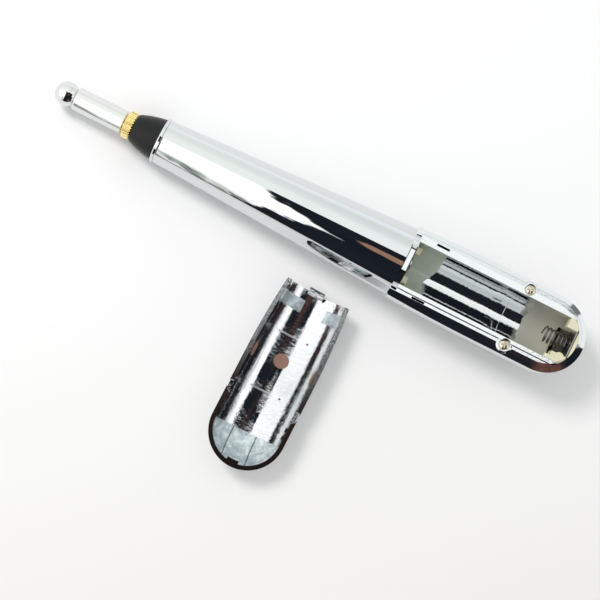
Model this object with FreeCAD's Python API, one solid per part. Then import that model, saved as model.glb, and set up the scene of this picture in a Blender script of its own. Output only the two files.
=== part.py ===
import FreeCAD, Part
import math
import os
from FreeCAD import Matrix, Placement, Rotation, Vector

# Battery-powered point-massage pen: a chrome-plated wand with a ball-ended probe, a knurled
# union collar, a black nose cone, a tapered two-part barrel and a bay for one AA cell.
# The bay is open and its cover lies beside the pen with its inside up.
#
# Every piece is drawn in the pen's own frame: X runs along the pen's axis from the front of the
# ball (x = 0) to the rear end, Z points up out of the battery bay, and Y is sideways.
# At the end the pen is tilted so that the flat control panel under the barrel lies on z = 0,
# and the cover is turned over and laid on the same surface. Millimetres.

# ---- driving dimensions ------------------------------------------------------------------
WALL = 1.3                # wall of the plated shells and of the cover
BALL_R = 3.95
SLEEVE_X0, SLEEVE_X1, SLEEVE_R = 6.9, 24.0, 3.8
COLLAR_X0, COLLAR_X1, COLLAR_R = 24.5, 27.2, 4.5
KNURLS = 30
CONE_X0, CONE_X1, CONE_R0, CONE_R1 = 27.3, 36.1, 4.6, 6.85
RING_X1, RING_R = 37.6, 7.45
BARREL_X0, BARREL_R0 = 37.6, 7.2      # front of the conical barrel
BARREL_X1, BARREL_R1 = 121.4, 11.55   # rear edge of the barrel, front of the battery section
BOAT_R1 = 12.3                        # the lower shell steps out behind the barrel
BULGE_X, BODY_R = 152.0, 13.1         # end of the swelling, and the largest radius
DOME_X = 172.2                        # centre of the round rear end
SPLIT_Z = 4.0                         # the cover meets the lower shell this far above the axis
SHOULDER_R, SHOULDER_SLOPE = 9.75, 12.0   # the ledge slopes down beyond this; degrees
SEAT_GAP = 0.15                       # the cover's rim stands this far off the lower shell

CELL_R = 7.25                         # one AA cell, 14.5 across and 50.5 long
TROUGH_R = CELL_R + 0.25
TRAY_WALL = 1.15
LIP_Z = 5.2                           # top of the trough's lips
LEDGE_T = 1.2                         # the ledge between the lips and the lower shell
BULKHEAD_T = 2.1
TROUGH_X0 = BARREL_X1 + BULKHEAD_T
TROUGH_X1 = 180.6
PLATE_X, PLATE_T = TROUGH_X1 + 0.2, 0.4   # plate behind the contact spring
REAR_RIM_R = 10.3                     # inner radius of the ledge round the bay's rear end
BAND_R = 10.15                        # bulkhead disc, recessed behind the barrel's rear edge
SLOT_W, SLOT_Z = 7.5, 9.3             # latch slot in the bulkhead's top
SCREW_X, SCREW_Y = 161.6, 9.6

COVER_X0 = TROUGH_X0 + 0.1
TAB_W = 5.3

TILT = 3.4                            # degrees; brings the underside of the barrel level
AXIS_LIFT = 5.25                      # height of the axis above the surface at x = 0
PANEL_X0, PANEL_X1, PANEL_W, PANEL_T = 44.0, 120.0, 9.4, 1.2
PANEL_MID = (PANEL_X0 + PANEL_X1) / 2

DIAL_X, DIAL_R, DIAL_T, DIAL_SINK = 60.0, 5.2, 2.6, 0.35
BOARD_X0, BOARD_X1, BOARD_W = 55.0, 117.0, 10.8
BOARD_Z, BOARD_T = 2.4, 1.0
POST_X = (70.0, 108.0)
LED_X = 77.0

THREAD_R, THREAD_PITCH, THREAD_TURNS = 1.5, 0.5, 10
STUD_X0, STUD_X1 = 16.0, 34.0
SOCKET_X1 = 43.3
RUN_GAP = 0.05                        # radial clearance of the turning and sliding fits

COVER_REST_Y = -20.5                  # y of the cover's front edge where it lies
COVER_YAW = 0.9                       # degrees; its rear end is turned towards the probe
BIG = 60.0

X_AXIS = Vector(1, 0, 0)
ORIGIN = Vector(0, 0, 0)


# ---- small helpers -----------------------------------------------------------------------
def box(x0, x1, y0, y1, z0, z1):
    return Part.makeBox(x1 - x0, y1 - y0, z1 - z0, Vector(x0, y0, z0))


def rod(x0, x1, radius, y=0.0, z=0.0):
    """Cylinder along X."""
    return Part.makeCylinder(radius, x1 - x0, Vector(x0, y, z), X_AXIS)


def post(x, y, z0, z1, radius):
    """Cylinder along Z."""
    return Part.makeCylinder(radius, z1 - z0, Vector(x, y, z0), Vector(0, 0, 1))


def pin(x, z, y0, y1, radius):
    """Cylinder along Y."""
    return Part.makeCylinder(radius, y1 - y0, Vector(x, y0, z), Vector(0, 1, 0))


def fuse(first, *rest):
    return first.multiFuse(list(rest)).removeSplitter()


def cut(first, *rest):
    for tool in rest:
        first = first.cut(tool)
    return first


def wire(start, *steps):
    """Closed outline in the XZ plane; a step is (x, z), or a pair of points for an arc."""
    here = Vector(start[0], 0, start[1])
    first = here
    edges = []
    for step in steps:
        if isinstance(step[0], tuple):
            middle, end = [Vector(x, 0, z) for x, z in step]
            edges.append(Part.Arc(here, middle, end).toShape())
        else:
            end = Vector(step[0], 0, step[1])
            edges.append(Part.LineSegment(here, end).toShape())
        here = end
    edges.append(Part.LineSegment(here, first).toShape())
    return Part.Wire(edges)


def turned(start, *steps):
    """Solid of revolution about the pen's axis, from an outline of (x, radius) points."""
    return Part.Face(wire(start, *steps)).revolve(ORIGIN, X_AXIS, 360)


def slab(y0, y1, start, *steps):
    """Outline in the XZ plane, extruded from y0 to y1."""
    face = Part.Face(wire(start, *steps))
    face.translate(Vector(0, y0, 0))
    return face.extrude(Vector(0, y1 - y0, 0))


def tube(points, radius, bend):
    """Round wire along straight runs joined by tangent arcs of one radius."""
    points = [Vector(*p) for p in points]
    edges = []
    here = points[0]
    for before, corner, after in zip(points, points[1:], points[2:]):
        back = (before - corner).normalize()
        ahead = (after - corner).normalize()
        half = back.getAngle(ahead) / 2
        reach = bend / math.tan(half)
        middle = (back + ahead).normalize() * (bend / math.sin(half) - bend)
        start = corner + back * reach
        end = corner + ahead * reach
        edges.append(Part.LineSegment(here, start).toShape())
        edges.append(Part.Arc(start, corner + middle, end).toShape())
        here = end
    edges.append(Part.LineSegment(here, points[-1]).toShape())
    path = Part.Wire(edges)
    along = points[1] - points[0]
    section = Part.Wire(Part.makeCircle(radius, points[0], along))
    return path.makePipeShell([section], True, False)


# ---- frames ------------------------------------------------------------------------------
def pen_placement():
    """Pen frame to row frame: tilted by TILT, control panel's face centred on the origin."""
    turn = Rotation(Vector(0, 1, 0), -TILT)
    middle = turn.multVec(Vector(PANEL_MID, 0, 0))
    return Placement(Vector(-middle.x, 0, AXIS_LIFT), turn)


PEN = pen_placement()


def cover_rest_turn():
    """Orientation of the cover where it lies: rear end towards -Y, inside up."""
    yaw = math.radians(COVER_YAW)
    along = Vector(-math.sin(yaw), -math.cos(yaw), 0)
    down = Vector(0, 0, -1)
    side = down.cross(along)
    return Rotation(Matrix(along.x, side.x, down.x, 0, along.y, side.y, down.y, 0,
                           along.z, side.z, down.z, 0, 0, 0, 0, 1))


def cover_hinge():
    """Axis, point and angle of the turn that carries the lying cover onto the bay.

    The cover lies at the place along X where that turn needs no slide along its own axis.
    """
    rest = cover_rest_turn()
    swing = PEN.Rotation.multiply(rest.inverted())
    axis, angle = swing.Axis, math.degrees(swing.Angle)
    front = Vector(COVER_X0, 0, 0)
    closed_front = PEN.multVec(front)

    def shift(x):
        lying_front = Vector(x, COVER_REST_Y, BODY_R)
        return closed_front - swing.multVec(lying_front)

    slide_0 = shift(0).dot(axis)
    slide_1 = shift(1).dot(axis)
    x = slide_0 / (slide_0 - slide_1)
    move = shift(x)
    point = (move + axis.cross(move) * (1 / math.tan(swing.Angle / 2))) * 0.5
    return axis, point, angle


HINGE_AXIS, HINGE_POINT, HINGE_ANGLE = cover_hinge()


def floor_prism(x0, x1, width, top):
    """Round-ended prism standing on the surface under the pen, in the pen frame."""
    shift = PEN.Base.x
    radius = width / 2
    left, right = x0 + shift + radius, x1 + shift - radius
    body = box(left, right, -radius, radius, 0, top)
    shape = fuse(body, post(left, 0, 0, top, radius), post(right, 0, 0, top, radius))
    shape.Placement = PEN.inverse()
    return shape


def floor_z(x):
    """Height of the surface in the pen frame, below the point x of the axis."""
    tilt = math.radians(TILT)
    return -(AXIS_LIFT + x * math.sin(tilt)) / math.cos(tilt)


# ---- the outer form ----------------------------------------------------------------------
def swell(front_x, front_r, x):
    """Radius of the arc that swells from the front of the bay to the largest radius."""
    run, rise = BULGE_X - front_x, BODY_R - front_r
    big = (run * run + rise * rise) / (2 * rise)
    return BODY_R - big + math.sqrt(big * big - (BULGE_X - x) ** 2)


def dome(inset):
    """Outline steps of the straight stretch and the round rear end, down to the axis."""
    radius = BODY_R - inset
    diagonal = radius * math.sqrt(0.5)
    return ((DOME_X, radius),
            ((DOME_X + diagonal, diagonal), (DOME_X + radius, 0)))


def pen_form(inset):
    """The barrel and the cover in one turned volume, shrunk by inset."""
    middle = (BARREL_X1 + BULGE_X) / 2
    return turned((BARREL_X0, 0), (BARREL_X0, BARREL_R0 - inset),
                  (BARREL_X1, BARREL_R1 - inset),
                  ((middle, swell(BARREL_X1, BARREL_R1, middle) - inset),
                   (BULGE_X, BODY_R - inset)), *dome(inset))


def boat_form(inset, front):
    """The lower shell's turned volume behind the barrel, from x = front."""
    nose = 0.6
    start = front + nose
    middle = (start + BULGE_X) / 2
    outer = swell(BARREL_X1, BOAT_R1, start) - inset
    corner = nose * (1 - math.sqrt(0.5))
    return turned((front, 0), (front, outer - nose),
                  ((front + corner, outer - corner), (start, outer)),
                  ((middle, swell(BARREL_X1, BOAT_R1, middle) - inset),
                   (BULGE_X, BODY_R - inset)), *dome(inset))


def skin(outer, inner):
    return pen_form(outer).cut(pen_form(inner))


def under_cover():
    """Everything that the closed cover leaves room for."""
    return pen_form(WALL + 0.6)


def below_shoulder():
    """Everything below the bay's ledge: level inside, sloping down towards the rim."""
    drop = (BIG - SHOULDER_R) * math.tan(math.radians(SHOULDER_SLOPE))
    profile = [(BIG, -BIG), (BIG, SPLIT_Z - drop), (SHOULDER_R, SPLIT_Z)]
    corners = [Vector(0, y, z) for y, z in profile]
    corners += [Vector(0, -y, z) for y, z in reversed(profile)]
    sides = Part.Face(Part.makePolygon(corners + corners[:1])).extrude(Vector(DOME_X, 0, 0))
    around = [Vector(y, 0, z) for y, z in profile] + [Vector(0, 0, SPLIT_Z), Vector(0, 0, -BIG)]
    rear = Part.Face(Part.makePolygon(around + around[:1]))
    rear = rear.revolve(ORIGIN, Vector(0, 0, 1), 360)
    rear.translate(Vector(DOME_X, 0, 0))
    rear = rear.common(box(DOME_X, BIG * 5, -BIG, BIG, -BIG, BIG))
    return fuse(sides, rear)


# ---- probe head --------------------------------------------------------------------------
def probe_ball():
    ball = Part.makeSphere(BALL_R, Vector(BALL_R, 0, 0))
    return fuse(ball, rod(BALL_R, 12.0, 1.2))


def probe_sleeve():
    edge = 0.7
    corner = edge * (1 - math.sqrt(0.5))
    body = turned((SLEEVE_X0, 0), (SLEEVE_X0, SLEEVE_R - 0.05 - edge),
                  ((SLEEVE_X0 + corner, SLEEVE_R - 0.05 - corner),
                   (SLEEVE_X0 + edge, SLEEVE_R - 0.05)),
                  (SLEEVE_X1 - 0.3, SLEEVE_R), (SLEEVE_X1, SLEEVE_R - 0.3), (SLEEVE_X1, 0))
    seat = Part.makeSphere(BALL_R, Vector(BALL_R, 0, 0))
    return cut(body, seat, rod(0, 12.0, 1.2), rod(STUD_X0 - 0.3, BIG, THREAD_R + RUN_GAP))


def knurled_collar():
    """Brass union collar: straight knurls, and a smaller hub that faces the sleeve."""
    teeth = []
    for i in range(KNURLS):
        for part, radius in ((0.0, 4.2), (0.3, 4.2), (0.5, COLLAR_R), (0.8, COLLAR_R)):
            turn = 2 * math.pi * (i + part) / KNURLS
            teeth.append(Vector(COLLAR_X0, radius * math.cos(turn), radius * math.sin(turn)))
    outline = Part.makePolygon(teeth + teeth[:1])
    ring = Part.Face(outline).extrude(Vector(COLLAR_X1 - COLLAR_X0, 0, 0))
    bevel = 0.35
    ring = ring.common(turned((COLLAR_X0, 0), (COLLAR_X0, COLLAR_R - bevel),
                              (COLLAR_X0 + bevel, COLLAR_R), (COLLAR_X1 - bevel, COLLAR_R),
                              (COLLAR_X1, COLLAR_R - bevel), (COLLAR_X1, 0)))
    hub = rod(SLEEVE_X1 + 0.1, COLLAR_X0 + 0.2, 3.0)
    return fuse(ring, hub).cut(rod(0, BIG, THREAD_R))


def threaded_stud():
    """Brass stud of the union; its thread is drawn as shallow grooves."""
    stud = rod(STUD_X0, STUD_X1, THREAD_R)
    for i in range(THREAD_TURNS):
        x = COLLAR_X1 + 0.8 + i * THREAD_PITCH
        groove = turned((x - 0.2, THREAD_R + 0.1), (x, THREAD_R - 0.15), (x + 0.2, THREAD_R + 0.1))
        stud = stud.cut(groove)
    return stud


# ---- nose --------------------------------------------------------------------------------
def nose_cone():
    middle_x = (CONE_X0 + CONE_X1) / 2
    middle_r = (CONE_R0 + CONE_R1) / 2 + 0.28
    edge = 0.35
    body = turned((CONE_X0, 0), (CONE_X0, CONE_R0 - edge), (CONE_X0 + edge, CONE_R0),
                  ((middle_x, middle_r), (CONE_X1, CONE_R1)), (CONE_X1, 3.95),
                  (CONE_X1 + 4.6, 3.95), (CONE_X1 + 4.6, 0))
    return body.cut(rod(0, BIG, 2.5))


def nose_ring():
    edge = 0.45
    corner = edge * (1 - math.sqrt(0.5))
    body = turned((CONE_X1, 0), (CONE_X1, RING_R - edge),
                  ((CONE_X1 + corner, RING_R - corner), (CONE_X1 + edge, RING_R)),
                  (RING_X1 - edge, RING_R),
                  ((RING_X1 - edge + corner, RING_R - edge + corner), (RING_X1, RING_R - edge)),
                  (RING_X1, 5.8), (RING_X1 + 5, 5.8), (RING_X1 + 5, 0))
    return body.cut(rod(0, BIG, 4.0))


def probe_socket():
    """Brass bush in the nose: the stud's thread and the output's first terminal."""
    front, shoulder = CONE_X0 + 0.4, CONE_X1 + 5.0
    body = turned((front, 0), (front, 2.5), (shoulder, 2.5), (shoulder, 3.2), (SOCKET_X1, 3.2),
                  (SOCKET_X1, 0))
    return body.cut(rod(0, STUD_X1 + 3, THREAD_R + RUN_GAP))


# ---- shells ------------------------------------------------------------------------------
def barrel_upper():
    return skin(0, WALL).common(box(BARREL_X0, BARREL_X1, -BIG, BIG, 0, BIG))


def shell_cavity():
    front = pen_form(WALL).common(box(BARREL_X0, TROUGH_X0, -BIG, BIG, -BIG, BIG))
    return fuse(front, boat_form(WALL, TROUGH_X0))


def board_posts():
    posts = [post(x, 0, -BIG / 3, BOARD_Z, 1.9) for x in POST_X]
    inside = pen_form(WALL - 0.2)
    return [p.common(inside) for p in posts]


def tray_posts():
    """Columns beside the trough that take the two tray screws."""
    inside = boat_form(WALL - 0.2, BARREL_X1)
    trough = trough_room(TROUGH_X0, BIG * 4, TRAY_WALL + 0.1)
    columns = []
    for side in (-1, 1):
        column = post(SCREW_X, side * SCREW_Y, -12, SPLIT_Z - LEDGE_T - 0.05, 2.3)
        columns.append(column.common(inside).cut(trough))
    return columns


def lower_shell():
    barrel = pen_form(0).common(box(BARREL_X0, BARREL_X1, -BIG, BIG, -BIG, 0))
    boat = boat_form(0, BARREL_X1).common(below_shoulder())
    shell = fuse(barrel, boat).cut(shell_cavity())
    shell = fuse(shell, *board_posts(), *tray_posts())
    for side in (-1, 1):
        shell = cut(shell,
                    post(SCREW_X, side * SCREW_Y, SPLIT_Z - LEDGE_T - 0.05, BIG, 2.7),
                    post(SCREW_X, side * SCREW_Y, -3, BIG, 0.9))
    for x in POST_X:
        shell = shell.cut(post(x, 0, -3, BIG, 0.8))
    return cut(shell, floor_prism(PANEL_X0 - 0.05, PANEL_X1 + 0.05, PANEL_W + 0.1, PANEL_T),
               dial_slot(0.4), post(LED_X, 0, -12, -4, 1.5))


# ---- battery bay -------------------------------------------------------------------------
def trough_room(x0, x1, grow=0.0):
    """U-shaped room along the trough, open at the top."""
    radius = TROUGH_R + grow
    return fuse(rod(x0, x1, radius), box(x0, x1, -radius, radius, 0, BIG / 3))


def behind_rim(radius, z0, z1):
    """Room behind an arc round the bay's rear end."""
    room = box(DOME_X, BIG * 4, -BIG, BIG, z0, z1)
    return room.cut(post(DOME_X, 0, z0 - 1, z1 + 1, radius))


def screw_bosses():
    """Raised rings on the ledge, each with a seat for a screw head."""
    inside = boat_form(0.1, BARREL_X1)
    bosses = []
    for side in (-1, 1):
        boss = post(SCREW_X, side * SCREW_Y, SPLIT_Z - LEDGE_T, SPLIT_Z + 0.3, 2.6)
        crown = Part.makeCone(2.6, 2.15, 0.4, Vector(SCREW_X, side * SCREW_Y, SPLIT_Z + 0.3))
        bosses.append(fuse(boss, crown).common(inside))
    return bosses


def battery_tray():
    ledge = boat_form(WALL + 0.05, TROUGH_X0)
    ledge = ledge.common(box(TROUGH_X0, BIG * 4, -BIG, BIG, SPLIT_Z - LEDGE_T, SPLIT_Z))
    opening = trough_room(TROUGH_X0, BIG * 4)
    ledge = ledge.common(below_shoulder()).cut(opening.cut(behind_rim(REAR_RIM_R, -BIG, BIG)))
    walls = trough_room(TROUGH_X0, TROUGH_X1, TRAY_WALL)
    walls = walls.common(box(TROUGH_X0, TROUGH_X1, -BIG, BIG, -BIG, LIP_Z))
    walls = walls.common(under_cover())
    bulkhead = rod(BARREL_X1, TROUGH_X0, BAND_R)
    tray = fuse(fuse(walls, bulkhead, *screw_bosses()).cut(opening), ledge)
    tray = cut(tray,
               box(BARREL_X1 - 1, TROUGH_X0 + 1, -SLOT_W / 2, SLOT_W / 2, SLOT_Z, BIG),
               band_recess(), rear_notch(), rod(BARREL_X1 - 1, TROUGH_X0 + 1, 0.7, 3.0, -2.0),
               rod(BARREL_X1 - 1, TROUGH_X0 + 1, 0.75, -3.0, -8.95),
               rod(BARREL_X1 - 1, TROUGH_X0 + 1, 0.8))
    for side in (-1, 1):
        near, far = sorted((side * 8.95, side * 9.7))
        tray = cut(tray, box(129.0, 133.4, near, far, SPLIT_Z - 2, SPLIT_Z + 2),
                   post(SCREW_X, side * SCREW_Y, SPLIT_Z - 0.3, BIG, 1.95),
                   post(SCREW_X, side * SCREW_Y, -BIG, BIG, 0.9))
    return tray


def band_recess():
    """Shallow band across the trough, as deep as the finger that pushes the cell out."""
    return rod(155.6, 158.8, TROUGH_R + 0.45)


def rear_notch():
    return box(TROUGH_X1 - 4.0, TROUGH_X1 + 1, -5.0, 5.0, -12, -4.6)


def tray_screws():
    """Two pan-head cross-recess screws."""
    screws = []
    for side in (-1, 1):
        y = side * SCREW_Y
        head = Part.makeSphere(2.6, Vector(SCREW_X, y, SPLIT_Z + 1.0 - 2.6))
        head = head.common(post(SCREW_X, y, SPLIT_Z - 0.3, SPLIT_Z + 2, 1.75))
        screw = fuse(head, post(SCREW_X, y, -2.5, SPLIT_Z - 0.1, 0.9))
        for turn in (20, 110):
            blade = box(-1.15, 1.15, -0.22, 0.22, SPLIT_Z + 0.35, SPLIT_Z + 2)
            blade.Placement = Placement(Vector(SCREW_X, y, 0), Rotation(Vector(0, 0, 1), turn))
            screw = screw.cut(blade)
        screws.append(screw)
    return Part.makeCompound(screws)


def contact_carrier():
    """Cream moulding at the rear: a curved back wall and two brackets that hold the plate."""
    wall_x = PLATE_X + PLATE_T + 0.25
    end = wall_x + 1.3
    back = boat_form(WALL + 0.12, TROUGH_X0)
    back = back.common(box(wall_x, BIG * 4, -BIG, BIG, -6.0, SPLIT_Z - 0.1))
    room = trough_room(TROUGH_X0, end, -0.05).common(pen_form(WALL + 0.75))
    far = room.common(box(TROUGH_X1 - 3.6, end, 4.3, TROUGH_R, 0.5, LIP_Z))
    far = far.cut(slab(0, BIG, (TROUGH_X1 - 5, -3), (TROUGH_X1 - 5, 3.4), (TROUGH_X1, -3)))
    near = room.common(box(TROUGH_X1 - 4.8, end, -TROUGH_R, -4.6, 0.5, LIP_Z))
    knob = post(TROUGH_X1 - 1.9, -5.6, -2.0, LIP_Z - 0.5, 1.7).common(room)
    wing = box(TROUGH_X1 - 6.5, TROUGH_X1, -TROUGH_R, -6.2, 3.2, LIP_Z + 0.4).common(room)
    body = fuse(back, far, near, knob, wing)
    return cut(body, behind_rim(REAR_RIM_R - 0.05, SPLIT_Z - LEDGE_T - 0.05, SPLIT_Z + 0.05),
               box(TROUGH_X1, BIG * 4, -BIG, BIG, SPLIT_Z - 0.1, BIG),
               box(PLATE_X - 0.1, wall_x, -5.0, 5.0, -BIG, BIG))


def negative_plate():
    plate = box(PLATE_X, PLATE_X + PLATE_T, -4.9, 4.9, -5.4, 3.6)
    return plate.cut(rod(PLATE_X - 1, PLATE_X + 1, 0.8))


def contact_spring():
    """Coil spring that presses the cell forward."""
    wire_r, coil_r, pitch, turns = 0.28, 2.4, 1.33, 6.5
    start = PLATE_X - wire_r - pitch * turns
    helix = Part.makeHelix(pitch, pitch * turns, coil_r)
    section = Part.Wire(Part.makeCircle(wire_r, Vector(coil_r, 0, 0), Vector(0, 1, 0.088)))
    spring = Part.Wire(helix).makePipeShell([section], True, True)
    spring.Placement = Placement(Vector(start, 0, 0), Rotation(Vector(0, 1, 0), 90))
    return spring


def front_contact_holder():
    """Cream plate on the bulkhead, with two nubs that guide the cell's button end."""
    plate = box(TROUGH_X0, TROUGH_X0 + 0.6, -6.6, 6.6, -5.5, 2.5)
    plate = plate.common(rod(TROUGH_X0, TROUGH_X0 + 1, TROUGH_R - 0.1))
    nubs = [box(TROUGH_X0, TROUGH_X0 + 2.1, side * 5.1 - 1.1, side * 5.1 + 1.1, -2.5, 2.5)
            for side in (-1, 1)]
    holder = fuse(plate, *nubs)
    return cut(holder, rod(TROUGH_X0 - 1, TROUGH_X0 + 3, 0.8))


def positive_contact():
    """Stem through the bulkhead, a washer head and a raised pip for the cell's button."""
    stem, head = TROUGH_X0 - 1.9, TROUGH_X0 + 0.6
    pip = head + 0.35
    return turned((stem, 0), (stem, 0.8), (head, 0.8), (head, 2.7), (pip, 2.7), (pip, 1.3),
                  (pip + 0.45, 0.9), (pip + 0.45, 0))


# ---- cover -------------------------------------------------------------------------------
def sector(outer, inner, region):
    return skin(outer, inner).common(region)


def latch_tab():
    """Tab at the cover's front edge, bevelled below so that it clears the barrel's edge."""
    x = COVER_X0
    tab = slab(-TAB_W / 2, TAB_W / 2, (x - 1.4, 10.35), (x - 0.7, 9.6), (x + 1.2, 9.6),
               (x + 1.2, 11.0), (x - 1.4, 11.0))
    gussets = [slab(side * 3.1 - 0.35, side * 3.1 + 0.35, (x + 0.2, 9.3), (x + 0.2, 10.9),
                    (x + 2.6, 10.9)) for side in (-1, 1)]
    return [tab] + gussets


def end_cap_lines():
    """Two fine ribs that run back over the thicker rear cap of the cover."""
    ribs = []
    for side in (-1, 1):
        y0, y1 = sorted((side * 3.9, side * 4.2))
        ribs.append(sector(WALL + 0.2, WALL + 0.55, box(174.0, 181.5, y0, y1, 6.0, BIG)))
    return ribs


def battery_cover():
    above = box(COVER_X0, BIG * 4, -BIG, BIG, SPLIT_Z + SEAT_GAP, BIG)
    cover = sector(0, WALL, above)
    extras = latch_tab() + end_cap_lines()
    extras.append(sector(WALL - 0.1, WALL + 0.4, box(173.6, BIG * 4, -BIG, BIG, 5.2, BIG)))
    for x in (138.9, 158.4):
        extras.append(sector(WALL - 0.1, WALL + 0.9, box(x, x + 0.5, -4.5, 4.5, 0, BIG)))
    for side, inner in ((-1, 5.5), (1, 2.0)):
        y0, y1 = sorted((side * inner, side * 20.0))
        extras.append(sector(WALL - 0.1, WALL + 0.4, box(127.1, 130.8, y0, y1, 4.6, BIG)))
        y0, y1 = sorted((side * 5.4, side * 20.0))
        extras.append(sector(WALL - 0.1, WALL + 0.6, box(166.0, 167.4, y0, y1, 4.4, 7.6)))
        extras.append(sector(WALL - 0.1, WALL + 0.6, box(168.6, 170.0, y0, y1, 4.4, 7.6)))
    extras.append(sector(WALL - 0.1, WALL + 0.9, box(TROUGH_X1, BIG * 4, -1.9, 1.9, 4.3, 5.4)))
    cover = fuse(cover, *extras)
    for side in (-1, 1):
        cover = cover.cut(post(SCREW_X, side * SCREW_Y, 0, SPLIT_Z + 1.0, 2.9))
    return cover


def cover_disc():
    """Thin round pad stuck inside the crown of the cover."""
    return sector(WALL, WALL + 0.4, post(147.6, 0, 0, BIG, 2.4))


# ---- controls and electronics --------------------------------------------------------------
def dial_z():
    return floor_z(DIAL_X) + DIAL_SINK + DIAL_R


def dial_slot(gap):
    half = DIAL_T / 2 + gap
    return box(DIAL_X - 4.4, DIAL_X + 4.4, -half, half, -BIG / 3, -4.5)


def control_panel():
    """Black strip under the barrel, flat below, with a scoop at the dial."""
    panel = floor_prism(PANEL_X0, PANEL_X1, PANEL_W, 3.2)
    hull = pen_form(-0.05).cut(floor_prism(PANEL_X0, PANEL_X1, PANEL_W, PANEL_T - 0.05))
    scoop_r, depth = 14.0, 0.55
    scoop = pin(DIAL_X, floor_z(DIAL_X) + depth - scoop_r, -3.4, 3.4, scoop_r)
    return cut(panel, hull, scoop, dial_slot(0.3), post(LED_X, 0, -14, -4, 1.5))


def dial_axis():
    return DIAL_X, dial_z()


def intensity_dial():
    """Ribbed thumbwheel with its axle on one side."""
    x, z = dial_axis()
    wheel = pin(x, z, -DIAL_T / 2, DIAL_T / 2, DIAL_R)
    ribs = 36
    for i in range(ribs):
        turn = 2 * math.pi * i / ribs
        wheel = wheel.cut(pin(x + (DIAL_R + 0.1) * math.cos(turn),
                              z + (DIAL_R + 0.1) * math.sin(turn), -BIG, BIG, 0.22))
    return fuse(wheel, pin(x, z, 0, 3.9, 0.8))


def dial_switch():
    """Switched potentiometer that carries the dial's axle, under the board."""
    x, z = dial_axis()
    body = box(x - 4.0, x + 4.0, DIAL_T / 2 + 0.25, 4.6, -4.4, BOARD_Z)
    return body.cut(pin(x, z, -BIG, BIG, 0.8 + RUN_GAP))


def circuit_board():
    half = BOARD_W / 2
    board = box(BOARD_X0, BOARD_X1, -half, half, BOARD_Z, BOARD_Z + BOARD_T)
    for x in POST_X:
        board = board.cut(post(x, 0, 0, BIG, 0.9))
    return board


def board_screws():
    screws = []
    for x in POST_X:
        top = BOARD_Z + BOARD_T
        screw = fuse(post(x, 0, top, top + 1.1, 1.6), post(x, 0, -1.5, top, 0.8))
        screws.append(screw.cut(box(x - 1.1, x + 1.1, -0.2, 0.2, top + 0.6, BIG)))
    return Part.makeCompound(screws)


def pulse_transformer():
    core = box(86.0, 96.0, -4.4, 4.4, BOARD_Z - 7.6, BOARD_Z)
    winding = rod(87.6, 94.4, 3.3, 0, BOARD_Z - 3.8)
    windows = [box(87.6, 94.4, side * 4.4 - 1.6, side * 4.4 + 1.6, BOARD_Z - 6.6, BOARD_Z - 1.0)
               for side in (-1, 1)]
    return fuse(cut(core, *windows), winding)


def reservoir_capacitor():
    can = turned((98.5, 0), (98.5, 2.3), (98.8, 2.5), (99.6, 2.5), (99.9, 2.3), (100.2, 2.5),
                 (104.4, 2.5), (104.7, 2.2), (104.7, 0))
    can.translate(Vector(0, 0, BOARD_Z - 2.5))
    return can


def driver_chip():
    body = box(98.0, 103.0, -2.0, 2.0, BOARD_Z + BOARD_T + 0.1, BOARD_Z + BOARD_T + 1.6)
    legs = []
    for i in range(4):
        x = 98.5 + i * 1.2
        top = BOARD_Z + BOARD_T
        legs.append(box(x, x + 0.45, -3.0, 3.0, top, top + 0.5))
    return fuse(body, *legs)


def indicator_led():
    return fuse(post(LED_X, 0, -1.4, BOARD_Z, 1.5), Part.makeSphere(1.5, Vector(LED_X, 0, -1.4)),
                post(LED_X, 0, BOARD_Z - 1.0, BOARD_Z, 1.8))


def light_pipe():
    lens = post(LED_X, 0, -14, -3.1, 1.45)
    lens = lens.common(floor_prism(LED_X - 6, LED_X + 6, 8, 14))
    return lens.cut(floor_prism(LED_X - 6, LED_X + 6, 8, 0.1))


def battery_lead_positive():
    return tube([(TROUGH_X0 - 1.9, 3.0, -2.0), (115.0, 3.0, -2.0), (115.0, 3.0, BOARD_Z)], 0.55, 1.9)


def battery_lead_negative():
    return tube([(PLATE_X - 0.2, -3.0, -5.0), (PLATE_X - 3.5, -3.0, -8.95), (115.0, -3.0, -8.95),
                 (115.0, -3.0, BOARD_Z)], 0.55, 1.6)


def output_lead():
    return tube([(SOCKET_X1, 0, 0), (49.5, 0, 0), (BOARD_X0 - 0.3, 0, BOARD_Z + 0.5)], 0.55, 5.0)


def body_contact_leaf():
    """Sprung leaf that joins the board to the plated barrel, the hand electrode."""
    top = BOARD_Z + BOARD_T
    return slab(-1.4, 1.4, (77.0, top), (82.0, top), (87.5, 8.15), (89.0, 7.9), (89.0, 8.15),
                (87.4, 8.42), (81.8, top + 0.25), (77.0, top + 0.25))


# ---- export ------------------------------------------------------------------------------
PROBE = {"probe_ball": probe_ball, "probe_sleeve": probe_sleeve}
COLLAR = {"knurled_collar": knurled_collar, "threaded_stud": threaded_stud}
DIAL = {"intensity_dial": intensity_dial}
COVER = {"battery_cover": battery_cover, "cover_disc": cover_disc}
BODY = {
    "barrel_upper": barrel_upper, "lower_shell": lower_shell, "battery_tray": battery_tray,
    "tray_screws": tray_screws, "contact_carrier": contact_carrier,
    "negative_plate": negative_plate, "contact_spring": contact_spring,
    "front_contact_holder": front_contact_holder, "positive_contact": positive_contact,
    "nose_cone": nose_cone, "nose_ring": nose_ring, "probe_socket": probe_socket,
    "control_panel": control_panel, "dial_switch": dial_switch,
    "circuit_board": circuit_board, "board_screws": board_screws,
    "pulse_transformer": pulse_transformer, "reservoir_capacitor": reservoir_capacitor,
    "driver_chip": driver_chip, "indicator_led": indicator_led, "light_pipe": light_pipe,
    "battery_lead_positive": battery_lead_positive,
    "battery_lead_negative": battery_lead_negative, "output_lead": output_lead,
    "body_contact_leaf": body_contact_leaf,
}


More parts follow.
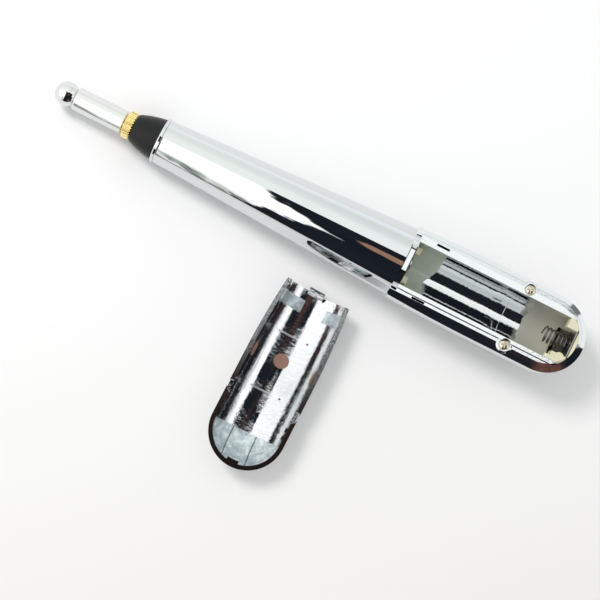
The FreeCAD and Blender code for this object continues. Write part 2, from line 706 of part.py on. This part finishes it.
def placed(shape, lying=False):
    """Copy of a piece in the row frame; the cover's pieces also swing back to where they lie."""
    shape = shape.copy()
    shape.Placement = PEN.multiply(shape.Placement)
    if lying:
        shape.rotate(HINGE_POINT, HINGE_AXIS, -HINGE_ANGLE)
    return shape


def main():
    os.makedirs("parts", exist_ok=True)
    for group in (BODY, PROBE, COLLAR, DIAL, COVER):
        for name, make in group.items():
            shape = placed(make(), lying=group is COVER)
            shape.exportStep("parts/" + name + ".step")


main()
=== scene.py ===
import math

import bpy
from mathutils import Matrix, Vector


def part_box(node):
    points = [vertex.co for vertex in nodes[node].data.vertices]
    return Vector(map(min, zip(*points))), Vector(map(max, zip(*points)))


# A chrome-plated point-massage pen with its battery bay open and the cover lying beside it.
# The CAD nodes keep their shapes; this script gives them their surfaces and sets up the studio.

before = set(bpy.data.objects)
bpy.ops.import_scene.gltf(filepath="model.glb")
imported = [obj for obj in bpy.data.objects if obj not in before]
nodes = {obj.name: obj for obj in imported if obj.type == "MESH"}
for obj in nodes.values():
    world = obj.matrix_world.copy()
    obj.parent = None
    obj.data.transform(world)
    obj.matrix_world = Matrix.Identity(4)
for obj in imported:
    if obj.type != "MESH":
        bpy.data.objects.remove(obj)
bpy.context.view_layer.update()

# how the pen lies on its control panel, on whose face the frame has its origin
TILT = math.radians(3.4)             # the axis rises by this much towards the rear
TIP_DISTANCE = 0.082                 # along the axis, from the ball's tip to the origin
TIP_HEIGHT = 0.00525                 # of the axis above the floor, at the ball's tip

# how the cover lies
COVER_YAW = math.radians(0.9)        # its centre line against the frame's Y
COVER_RADIUS = 0.0131
TAB_REACH = 0.0014                   # of the latch tab past the cover's front edge

PLATING = (0.71, 0.725, 0.735, 1)
WHITE_METAL = (0.76, 0.76, 0.76, 1)


# ---- node graph helper ---------------------------------------------------------------------
class Graph:
    """Short spellings for the shader nodes used below."""

    def __init__(self, tree):
        self.tree = tree

    def add(self, kind, inputs=(), **settings):
        node = self.tree.nodes.new("ShaderNode" + kind)
        for name, value in settings.items():
            setattr(node, name, value)
        for key, value in dict(inputs).items():
            self.plug(node.inputs[key], value)
        return node

    def plug(self, socket, value):
        if isinstance(value, bpy.types.NodeSocket):
            self.tree.links.new(value, socket)
        else:
            socket.default_value = value

    def math(self, operation, *values):
        node = self.add("Math", operation=operation)
        for socket, value in zip(node.inputs, values):
            self.plug(socket, value)
        return node.outputs[0]

    def product(self, first, *others):
        for other in others:
            first = self.math("MULTIPLY", first, other)
        return first

    def fade(self, value, start, end, low=0.0, high=1.0):
        """Smooth step: low at start, high at end, and flat past them."""
        node = self.add("MapRange", {0: value, 1: start, 2: end, 3: low, 4: high},
                        interpolation_type="SMOOTHSTEP")
        return node.outputs[0]

    def above(self, value, limit, blur):
        return self.fade(value, limit - blur, limit + blur)

    def below(self, value, limit, blur):
        return self.fade(value, limit - blur, limit + blur, 1.0, 0.0)

    def stripe(self, value, middle, inner, outer, peak=1.0):
        """Peak within inner of the middle, nothing beyond outer."""
        away = self.math("ABSOLUTE", self.math("SUBTRACT", value, middle))
        return self.fade(away, inner, outer, peak, 0.0)

    def ramp(self, value, stops):
        """Colour by value, in straight pieces between (position, colour) stops."""
        node = self.add("ValToRGB", {0: value})
        made = node.color_ramp.elements
        while len(made) < len(stops):
            made.new(0.5)
        for stop, (position, color) in zip(made, stops):
            stop.position = position
            stop.color = (*color, 1)
        return node.outputs[0]

    def curve(self, value, low, high, *heights):
        """Height by value, in straight pieces through evenly spaced heights from low to high."""
        along = self.math("DIVIDE", self.math("SUBTRACT", value, low), high - low)
        last = len(heights) - 1
        return self.ramp(along, [(i / last, (height,) * 3) for i, height in enumerate(heights)])

    def mix(self, factor, first, second):
        node = self.add("Mix", data_type="RGBA")
        self.plug(node.inputs["Factor"], factor)
        self.plug(node.inputs[6], first)
        self.plug(node.inputs[7], second)
        return node.outputs[2]

    def noise(self, where, scale, detail, rough):
        node = self.add("TexNoise", {"Vector": where, "Scale": scale, "Detail": detail,
                                     "Roughness": rough})
        return node.outputs[0]

    def cells(self, where, scale):
        """Distance to the nearest of scattered points."""
        node = self.add("TexVoronoi", {"Vector": where, "Scale": scale}, feature="F1")
        return node.outputs["Distance"]

    def xyz(self, vector):
        return self.add("SeparateXYZ", {0: vector}).outputs

    def place(self, move=(0, 0, 0), stretch=(1, 1, 1)):
        """Object coordinates in metres, stretched and moved."""
        here = self.add("TexCoord").outputs["Object"]
        return self.add("Mapping", {0: here, 1: move, 3: stretch}).outputs[0]

    def bump(self, height, strength, distance, under=None):
        """Normal raised by height, over the normal given as under."""
        node = self.add("Bump", {"Height": height, "Strength": strength, "Distance": distance})
        if under is not None:
            self.plug(node.inputs["Normal"], under)
        return node.outputs[0]


def material(slot, **values):
    """New material, with its graph and its Principled shader."""
    made = bpy.data.materials.new("look_" + slot)
    made.use_nodes = True
    shader = made.node_tree.nodes["Principled BSDF"]
    for name, value in values.items():
        shader.inputs[name.replace("_", " ")].default_value = value
    return made, Graph(made.node_tree), shader


def link(g, shader, **sockets):
    for name, socket in sockets.items():
        g.plug(shader.inputs[name.replace("_", " ")], socket)


def give(made, *names):
    for name in names:
        for slot in nodes[name].material_slots:
            slot.material = made


# ---- chrome ----------------------------------------------------------------------------------
def plated(slot, waves, tint=PLATING, haze=0.03):
    """The start of every chrome surface: a mirror, and the normal of the moulding's waves."""
    made, g, shader = material(slot, Metallic=1.0, Base_Color=tint, Roughness=haze)
    wave = g.bump(g.noise(g.place(), 85, 1, 0.4), waves, 0.00012)
    return made, g, shader, wave


def chrome(slot, names, tint=PLATING, waves=0.5, haze=0.03):
    """Plain plating: hazy spots, hairline wipe marks and a few specks of dust."""
    made, g, shader, wave = plated(slot, waves, tint, haze)
    here = g.place()
    spots = g.fade(g.noise(here, 90, 4, 0.6), 0.52, 0.75)
    wipes = g.fade(g.noise(g.place(stretch=(40, 900, 900)), 1.0, 3, 0.6), 0.6, 0.75)
    sparse = g.fade(g.noise(here, 260, 1, 0.5), 0.60, 0.66)
    dust = g.product(g.fade(g.cells(here, 420.0), 0.05, 0.09, 1.0, 0.0), sparse)
    rough = g.math("MULTIPLY_ADD", spots, haze * 0.9, haze * 0.45)
    rough = g.math("MULTIPLY_ADD", wipes, haze * 0.5, rough)
    rough = g.math("MULTIPLY_ADD", dust, 0.35, rough)
    link(g, shader, Roughness=rough, Normal=wave,
         Base_Color=g.mix(g.product(dust, 0.2), tint, (0.5, 0.5, 0.5, 1)))
    give(made, *names)


chrome("chrome_barrel", ["barrel_upper"])
chrome("chrome_shell", ["lower_shell"])
chrome("chrome_trim", ["nose_ring"], waves=0.1)
chrome("chrome_probe", ["probe_ball", "probe_sleeve"], WHITE_METAL, waves=0.05, haze=0.02)


# ---- battery tray ----------------------------------------------------------------------------
def pen_coordinates(g):
    """Coordinates along the pen's own axis: x runs from the ball's tip to the rear end."""
    from_tip = g.place(move=(TIP_DISTANCE * math.cos(TILT), 0, -TIP_HEIGHT))
    return g.add("VectorRotate", {"Vector": from_tip, "Angle": TILT, "Axis": (0, 1, 0)},
                 rotation_type="AXIS_ANGLE").outputs[0]


def bare_zones(g, pen, x, y, z):
    """1 where the trough was never plated: at both ends of the bay, with uneven borders."""
    trough_top, trough_half_width = 0.0049, 0.00775
    front_border_near, front_border_far, rear_border = 0.1314, 0.1337, 0.1654
    rim_start, rim_middle, rim_radius = 0.1725, 0.1722, 0.0102

    wobble = g.math("MULTIPLY_ADD", g.noise(pen, 260, 3, 0.6), 0.0022, -0.0011)
    fine = g.math("MULTIPLY_ADD", g.noise(pen, 1500, 2, 0.6), 0.0006, -0.0003)
    along = g.math("ADD", g.math("ADD", x, wobble), fine)

    # the front border lies further back on the far side, and a little beside the near wall
    border = g.fade(y, -0.0015, 0.0040, front_border_near, front_border_far)
    border = g.math("ADD", border, g.fade(y, -0.0020, -0.0070, 0.0, 0.0010))
    front = g.below(g.math("SUBTRACT", along, border), 0.0, 0.0002)
    bulge = g.product(y, y, 14.0)
    rear = g.above(g.math("SUBTRACT", along, bulge), rear_border, 0.0002)
    trough = g.product(g.below(z, trough_top, 0.0002),
                       g.below(g.math("ABSOLUTE", y), trough_half_width, 0.00015))

    # the rim round the bay's rear end is plated
    away = g.math("SUBTRACT", x, rim_middle)
    reach = g.math("SQRT", g.math("ADD", g.product(away, away), g.product(y, y)))
    rim = g.product(g.above(reach, rim_radius, 0.00005), g.above(x, rim_start, 0.0005))
    return g.product(trough, g.math("MAXIMUM", front, rear), g.math("SUBTRACT", 1.0, rim))


def shaded_bare_plastic(g, pen, x, y):
    """Greenish plastic greyed by painted shade at the front; at the rear painted grey shade,
    turning yellowish.
    """
    middle_of_bay, pale_line_y = 0.149, 0.0006
    mottle = g.noise(pen, 320, 4, 0.6)
    # painted shade greys the pale greenish plastic at the front
    front = g.mix(mottle, (0.46, 0.51, 0.43, 1), (0.62, 0.67, 0.59, 1))
    # a pale stripe runs along the trough's floor, just beside its middle
    front = g.mix(g.stripe(y, pale_line_y, 0.0, 0.0009, 0.5), front, (0.80, 0.84, 0.76, 1))
    # painted shade: the cream plastic is grey near the middle of the bay and turns to its own
    # yellowish cream towards the rear end
    rear = g.mix(g.fade(x, 0.166, 0.181), (0.38, 0.38, 0.33, 1), (0.68, 0.66, 0.52, 1))
    rear = g.mix(g.product(mottle, 0.35), rear, (0.46, 0.46, 0.41, 1))
    return g.mix(g.above(x, middle_of_bay, 0.001), front, rear)


def bulkhead_gap_shadow(g, x, y, z):
    """1 where painted shadow darkens the narrow gaps on top of the bulkhead: beside the latch,
    and along its two edges.
    """
    latch_half_width, latch_back = 0.00385, 0.1237
    bulkhead_front, bulkhead_back = 0.1218, 0.1232
    beside = g.product(g.stripe(g.math("ABSOLUTE", y), latch_half_width, 0.00015, 0.00035),
                       g.above(z, 0.0084, 0.0002), g.below(x, latch_back, 0.0001))
    edges = g.math("MAXIMUM", g.below(x, bulkhead_front, 0.0001),
                   g.above(x, bulkhead_back, 0.0001))
    return g.math("MAXIMUM", beside, g.product(g.above(z, 0.0089, 0.0001), edges))


def tray_look():
    """Plated in the middle of the trough and on the ledges, bare plastic at both ends."""
    made, g, shader, wave = plated("chrome_tray", waves=0.25)
    pen = pen_coordinates(g)
    x, y, z = g.xyz(pen)
    bare = bare_zones(g, pen, x, y, z)
    # painted shadow: the plating turns near-black in the narrow gaps on the bulkhead
    plating = g.mix(bulkhead_gap_shadow(g, x, y, z), PLATING, (0.03, 0.03, 0.03, 1))
    link(g, shader, Base_Color=g.mix(bare, plating, shaded_bare_plastic(g, pen, x, y)),
         Metallic=g.math("SUBTRACT", 1.0, bare),
         Roughness=g.math("MULTIPLY_ADD", bare, 0.36, 0.018),
         Normal=g.bump(g.noise(pen, 1400, 3, 0.6), 0.25, 0.00008, wave))
    give(made, "battery_tray")


tray_look()


# ---- battery cover ---------------------------------------------------------------------------
def cover_look():
    """Inside of the cover: rough plating down the middle, frosted cap, pads and rib crests."""
    brim_height, cap_length, cap_rib = 0.0086, 0.0120, 0.00402
    pad_back, pad_front, pad_left, pad_right = 0.0075, 0.0033, -0.0020, 0.0054
    cross_ribs, rib_half_length = (0.01555, 0.03505), 0.00445

    made, g, shader, wave = plated("chrome_cover", waves=0.35)
    here = g.place()
    x, y, z = g.xyz(here)
    low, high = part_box("battery_cover")
    front, back = high.y - TAB_REACH, low.y
    behind_front = g.math("SUBTRACT", front, y)

    # distance from the cover's centre line, which passes through the middle of the disc
    disc_low, disc_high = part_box("cover_disc")
    disc = (disc_low + disc_high) / 2
    slope = math.tan(COVER_YAW)
    side = g.math("SUBTRACT", x, g.math("MULTIPLY_ADD", y, slope, disc.x - disc.y * slope))
    off_middle = g.math("ABSOLUTE", side)

    # the plating is rough only inside, where the surface faces the cover's own axis
    nx, ny, nz = g.xyz(g.add("TexCoord").outputs["Normal"])
    past_cap = g.math("MINIMUM", g.math("SUBTRACT", y, back + COVER_RADIUS), 0.0)
    outward = g.math("ADD", g.product(nx, side), g.product(ny, past_cap))
    outward = g.math("ADD", outward, g.product(nz, g.math("SUBTRACT", z, COVER_RADIUS)))
    brim = g.above(z, brim_height, 0.0002)
    inner = g.product(g.below(outward, 0.0, 0.0006), g.math("SUBTRACT", 1.0, brim))

    # frosted: the rear cap, the two front pads and the crests of the cross ribs
    cap = g.below(y, back + cap_length, 0.0002)
    pads = g.product(g.above(y, front - pad_back, 0.0001), g.below(y, front - pad_front, 0.0001),
                     g.math("MAXIMUM", g.below(side, pad_left, 0.0001),
                            g.above(side, pad_right, 0.0001)))
    frost = g.product(g.math("MAXIMUM", cap, pads), inner)
    crest = g.math("MAXIMUM", *(g.stripe(behind_front, rib, 0.00025, 0.0004)
                                for rib in cross_ribs))
    crest = g.product(crest, g.below(off_middle, rib_half_length, 0.00015))

    # rough patches, mostly down the middle, and the crackled skin of the frosted parts
    patch = g.fade(g.noise(here, 150, 2, 0.5), 0.30, 0.62)
    scrubbed = g.product(patch, g.fade(off_middle, 0.0045, 0.0075, 1.0, 0.55), inner)
    scrub = g.noise(g.place(stretch=(1, 1.7, 1)), 520, 4, 0.62)
    grain = g.bump(scrub, g.product(inner, g.math("MULTIPLY_ADD", scrubbed, 0.6, 0.2)),
                   0.00014, wave)
    cloud = g.noise(here, 420, 5, 0.7)
    ice = g.bump(g.math("ADD", g.cells(here, 900.0), cloud), g.product(frost, 0.55), 0.00010,
                 grain)
    rough = g.math("MULTIPLY_ADD", scrubbed, 0.06, 0.02)
    rough = g.math("MULTIPLY_ADD", frost, 0.30, rough)
    rough = g.math("MULTIPLY_ADD", brim, 0.16, rough)

    # icy tones, painted shade along the cap's two ribs, and pale on the crests
    tone = g.mix(g.fade(cloud, 0.35, 0.7), (0.42, 0.50, 0.53, 1), (0.80, 0.85, 0.86, 1))
    rib_edge_shade = g.product(g.stripe(off_middle, cap_rib, 0.00012, 0.00026), cap)
    tone = g.mix(g.product(rib_edge_shade, 0.8), tone, (0.05, 0.06, 0.07, 1))
    tone = g.mix(crest, tone, (0.86, 0.87, 0.88, 1))
    pale = g.math("MAXIMUM", frost, g.product(crest, inner))

    # the brim is speckled, and painted brown round the rear as a reflection in its plating
    speck = g.fade(g.noise(here, 2600, 3, 0.7), 0.40, 0.60)
    rim = g.mix(speck, (0.16, 0.16, 0.165, 1), (0.62, 0.63, 0.65, 1))
    rim = g.mix(g.fade(y, -0.058, -0.040), (0.13, 0.09, 0.075, 1), rim)
    link(g, shader, Base_Color=g.mix(pale, g.mix(brim, PLATING, rim), tone),
         Metallic=g.math("MULTIPLY_ADD", pale, -0.35, 1.0), Roughness=rough, Normal=ice)
    give(made, "battery_cover")


cover_look()


# ---- plastics and metals ---------------------------------------------------------------------
def moulded(slot, color, names, rough, vary=0.25, gloss=0.5):
    """Moulded plastic: fine grain, slight changes of tone and roughness."""
    made, g, shader = material(slot, Roughness=rough, Specular_IOR_Level=gloss)
    here = g.place()
    cloud = g.noise(here, 210, 4, 0.6)
    darker = tuple(c * (1 - vary) for c in color) + (1,)
    lighter = tuple(min(1.0, c * (1 + vary)) for c in color) + (1,)
    link(g, shader, Base_Color=g.mix(cloud, darker, lighter),
         Roughness=g.math("MULTIPLY_ADD", cloud, rough * 0.5, rough * 0.75),
         Normal=g.bump(g.noise(here, 600, 3, 0.6), 0.3, 0.00002))
    give(made, *names)


moulded("black_gloss", (0.007, 0.007, 0.008), ["nose_cone"], rough=0.34, gloss=0.28)
moulded("black_panel", (0.02, 0.02, 0.022), ["control_panel"], rough=0.38)
moulded("dial_black", (0.03, 0.03, 0.032), ["intensity_dial"], rough=0.5)
moulded("cream_plastic", (0.74, 0.70, 0.50), ["contact_carrier", "front_contact_holder"],
        rough=0.42, vary=0.12)
moulded("board_green", (0.03, 0.16, 0.07), ["circuit_board"], rough=0.3)
moulded("component_black", (0.03, 0.03, 0.032), ["dial_switch", "driver_chip"], rough=0.45)
moulded("ferrite", (0.09, 0.085, 0.085), ["pulse_transformer"], rough=0.6)
# painted reflection: the disc inside the cover is a flat mirror, and this brown stands for what
# it reflects
moulded("brown_disc", (0.27, 0.155, 0.11), ["cover_disc"], rough=0.6, vary=0.12)
moulded("lead_red", (0.45, 0.03, 0.02), ["battery_lead_positive"], rough=0.4)
moulded("lead_black", (0.02, 0.02, 0.02), ["battery_lead_negative"], rough=0.4)
moulded("lead_yellow", (0.55, 0.38, 0.03), ["output_lead"], rough=0.4)
moulded("led_red", (0.5, 0.02, 0.02), ["indicator_led"], rough=0.2)


def machined(slot, color, names, rough, lines=(400, 4000, 4000), worn=0.3):
    """Turned or drawn metal: fine lines, darker where it has tarnished."""
    made, g, shader = material(slot, Metallic=1.0, Roughness=rough)
    marks = g.noise(g.place(stretch=lines), 1.0, 3, 0.6)
    stain = g.noise(g.place(), 500, 4, 0.65)
    dull = tuple(c * (1 - worn) for c in color) + (1,)
    link(g, shader, Base_Color=g.mix(g.fade(stain, 0.3, 0.7), (*color, 1), dull),
         Roughness=g.math("MULTIPLY_ADD", marks, rough * 0.8, rough * 0.6),
         Normal=g.bump(marks, 0.15, 0.00001))
    give(made, *names)


machined("brass", (0.98, 0.80, 0.38), ["knurled_collar", "threaded_stud", "probe_socket"],
         rough=0.16, worn=0.12)
machined("contact_steel", (0.62, 0.61, 0.58),
         ["negative_plate", "positive_contact", "body_contact_leaf"], rough=0.3)
machined("spring_steel", (0.20, 0.19, 0.18), ["contact_spring"], rough=0.3,
         lines=(900, 900, 900))
machined("screw_nickel", (0.80, 0.74, 0.60), ["tray_screws", "board_screws"], rough=0.22)
machined("can_aluminium", (0.75, 0.76, 0.78), ["reservoir_capacitor"], rough=0.28)


def lens_look():
    """Clear reddish plastic with a finely uneven skin."""
    made, g, shader = material("clear_lens", Transmission_Weight=0.85, IOR=1.49,
                               Base_Color=(0.95, 0.55, 0.52, 1), Roughness=0.12)
    link(g, shader, Normal=g.bump(g.noise(g.place(), 1500, 2, 0.5), 0.2, 0.00002))
    give(made, "light_pipe")


lens_look()


# ---- studio ----------------------------------------------------------------------------------
# The surroundings are drawn flat: a direction (x, y, z) is at u = x / (1 + z), v = y / (1 + z),
# with the zenith in the middle and the horizon on the unit circle.
def dark_shape(g, u, v, rough_u, rough_v):
    """How dark a direction is: 1 on a person leaning over the pen's rear, less on a shelf."""
    lift = 0.2                       # keeps the left edge's heights above zero
    edge = g.curve(v, -1.0, 0.1, 0.075, 0.084, 0.094, 0.102, 0.108, 0.113, 0.124, 0.130, 0.122,
                   0.110, 0.106, 0.104)
    past_edge = g.math("SUBTRACT", rough_u, g.math("SUBTRACT", edge, lift))
    top = g.curve(u, -0.12, 0.36, 0.06, 0.055, 0.04, 0.05, 0.12, 0.12, 0.11, 0.10, 0.08)
    under_top = g.fade(g.math("SUBTRACT", v, top), -0.004, 0.006, 1.0, 0.0)
    gap = g.product(g.fade(rough_u, 0.48, 0.52), g.fade(rough_v, -0.16, -0.10))
    person = g.product(g.above(past_edge, 0.0, 0.003), under_top, g.math("SUBTRACT", 1.0, gap))
    shelf = g.product(g.fade(rough_u, 0.05, 0.07), g.fade(rough_u, 0.3, 0.26),
                      g.stripe(rough_v, 0.285, 0.012, 0.02), 0.8)
    return g.math("MAXIMUM", person, shelf)


def pale_room(g, u, v, z, flat):
    """White overhead, greyer half way down the far side, with dim streaks and two lines."""
    far = g.ramp(v, [(0.0, (1.5, 1.5, 1.5)), (0.14, (1.12, 1.17, 1.15)),
                     (0.30, (1.12, 1.17, 1.14)), (0.45, (0.93, 0.98, 0.95)),
                     (0.65, (0.84, 0.91, 0.88)), (0.82, (1.02, 1.08, 1.12)),
                     (1.0, (1.14, 1.20, 1.23))])
    left = g.mix(g.fade(u, -0.14, 0.0, 0.45, 0.0), far, (1.17, 1.18, 1.11, 1))
    pale = g.mix(g.fade(v, -0.02, 0.1), far, left)

    # streaks of a dim room beside the person, low on the near side
    streak = g.noise(g.add("Mapping", {0: flat, 3: (60, 3, 1)}).outputs[0], 1.0, 2, 0.5)
    streaked = g.mix(g.fade(streak, 0.35, 0.7), (0.12, 0.145, 0.13, 1), (1.0, 1.05, 0.96, 1))
    near_side = g.math("ADD", g.product(u, 9.0), v)
    room = g.product(g.fade(near_side, -1.55, -1.9), g.fade(u, -0.5, -0.1),
                     g.fade(v, -0.35, -0.6))
    pale = g.mix(room, pale, streaked)

    # two thin dark lines on the left: a sill near the zenith, and one along the horizon
    sill = g.product(g.stripe(v, 0.047, 0.002, 0.006, 0.75), g.fade(u, -0.085, -0.10))
    horizon = g.product(g.stripe(z, 0.035, 0.015, 0.035, 0.9), g.fade(u, -0.06, -0.12),
                        g.fade(v, 0.5, 0.2))
    return g.mix(g.math("MAXIMUM", sill, horizon), pale, (0.06, 0.065, 0.07, 1))


def person_tones(g, flat, rough_u, rough_v):
    """Navy clothes, and skin tones where the hand and the forearms are."""

    def blob(center, size, soft=0.35):
        du = g.math("DIVIDE", g.math("SUBTRACT", rough_u, center[0]), size[0])
        dv = g.math("DIVIDE", g.math("SUBTRACT", rough_v, center[1]), size[1])
        return g.below(g.math("ADD", g.product(du, du), g.product(dv, dv)), 1.0, soft)

    navy = g.mix(g.noise(flat, 9, 4, 0.6), (0.006, 0.008, 0.012, 1), (0.022, 0.027, 0.036, 1))
    skin = g.mix(g.noise(flat, 30, 3, 0.6), (0.22, 0.11, 0.075, 1), (0.62, 0.36, 0.25, 1))
    shaded = g.mix(g.noise(flat, 26, 3, 0.6), (0.03, 0.016, 0.014, 1), (0.28, 0.13, 0.10, 1))
    hand = blob((-0.046, -0.12), (0.015, 0.065))
    arms = g.math("MAXIMUM", blob((0.16, -0.10), (0.085, 0.09), 0.75),
                  blob((0.45, -0.62), (0.2, 0.16)))
    return g.mix(hand, g.mix(arms, navy, shaded), skin)


def world_look():
    """Only reflections see the painted surroundings; everything else is lit by a plain grey."""
    plain = (0.725, 0.735, 0.745, 1)
    world = bpy.data.worlds.new("studio")
    bpy.context.scene.world = world
    world.use_nodes = True
    g = Graph(world.node_tree)
    x, y, z = g.xyz(g.add("TexCoord").outputs["Generated"])
    rise = g.math("ADD", g.math("MAXIMUM", z, -0.2), 1.0)
    u = g.math("DIVIDE", x, rise)
    v = g.math("DIVIDE", y, rise)
    flat = g.add("CombineXYZ", {0: u, 1: v}).outputs[0]
    wiggle = g.math("MULTIPLY_ADD", g.noise(flat, 14, 3, 0.6), 0.02, -0.01)
    rough_u = g.math("ADD", u, wiggle)
    rough_v = g.math("ADD", v, wiggle)

    seen = g.mix(dark_shape(g, u, v, rough_u, rough_v), pale_room(g, u, v, z, flat),
                 person_tones(g, flat, rough_u, rough_v))
    reflected = g.add("LightPath").outputs["Is Glossy Ray"]
    back = g.add("Background", {0: g.mix(reflected, plain, seen), 1: 1.0})
    g.tree.links.new(back.outputs[0], g.tree.nodes["World Output"].inputs[0])


world_look()


def floor():
    """White paper, with painted shade making it a little darker and warmer towards the near
    side.
    """
    bpy.ops.mesh.primitive_plane_add(size=8.0, location=(0, 0, -0.00002))
    plane = bpy.context.object
    plane.name = "floor"
    made, g, shader = material("paper", Roughness=0.6, Specular_IOR_Level=0.2)
    here = g.place()
    x, y = g.xyz(here)[:2]
    # painted shade: darker and warmer towards the near side
    painted_floor_shade = g.fade(g.math("MULTIPLY_ADD", x, -0.5, y), -0.22, 0.05)
    tone = g.mix(painted_floor_shade, (0.86, 0.84, 0.825, 1), (0.945, 0.945, 0.94, 1))
    tone = g.mix(g.product(g.noise(here, 6, 2, 0.5), 0.1), tone, (0.86, 0.86, 0.85, 1))
    link(g, shader, Base_Color=tone)
    plane.data.materials.append(made)


floor()


def key_light():
    """One soft lamp, high over the ball's end on the far side, that reflections don't show."""
    place, aim = Vector((-0.74, 0.24, 0.95)), Vector((0, -0.03, 0))
    data = bpy.data.lights.new("key", "AREA")
    data.shape = "DISK"
    data.size = 0.42
    data.energy = 7.0
    data.color = (1.0, 0.99, 0.98)
    lamp = bpy.data.objects.new("key", data)
    lamp.location = place
    lamp.rotation_euler = (place - aim).to_track_quat("Z", "Y").to_euler()
    lamp.visible_glossy = False
    bpy.context.scene.collection.objects.link(lamp)


key_light()


def camera():
    """At the photograph's angle: almost overhead, leaning from the near side."""
    place = Vector((-0.02413, -0.07853, 0.47704))
    back = Vector((-0.08557, -0.11296, 0.98991)).normalized()
    right = Vector((0.88798, 0.44195, 0.12719))
    right = (right - right.dot(back) * back).normalized()
    turn = Matrix((right, back.cross(right), back)).transposed().to_4x4()
    data = bpy.data.cameras.new("camera")
    data.sensor_width = 36.0
    data.lens = 90.0
    data.clip_start = 0.01
    thing = bpy.data.objects.new("camera", data)
    thing.matrix_world = Matrix.Translation(place) @ turn
    bpy.context.scene.collection.objects.link(thing)
    bpy.context.scene.camera = thing


camera()
bpy.context.scene.view_settings.view_transform = "Standard"
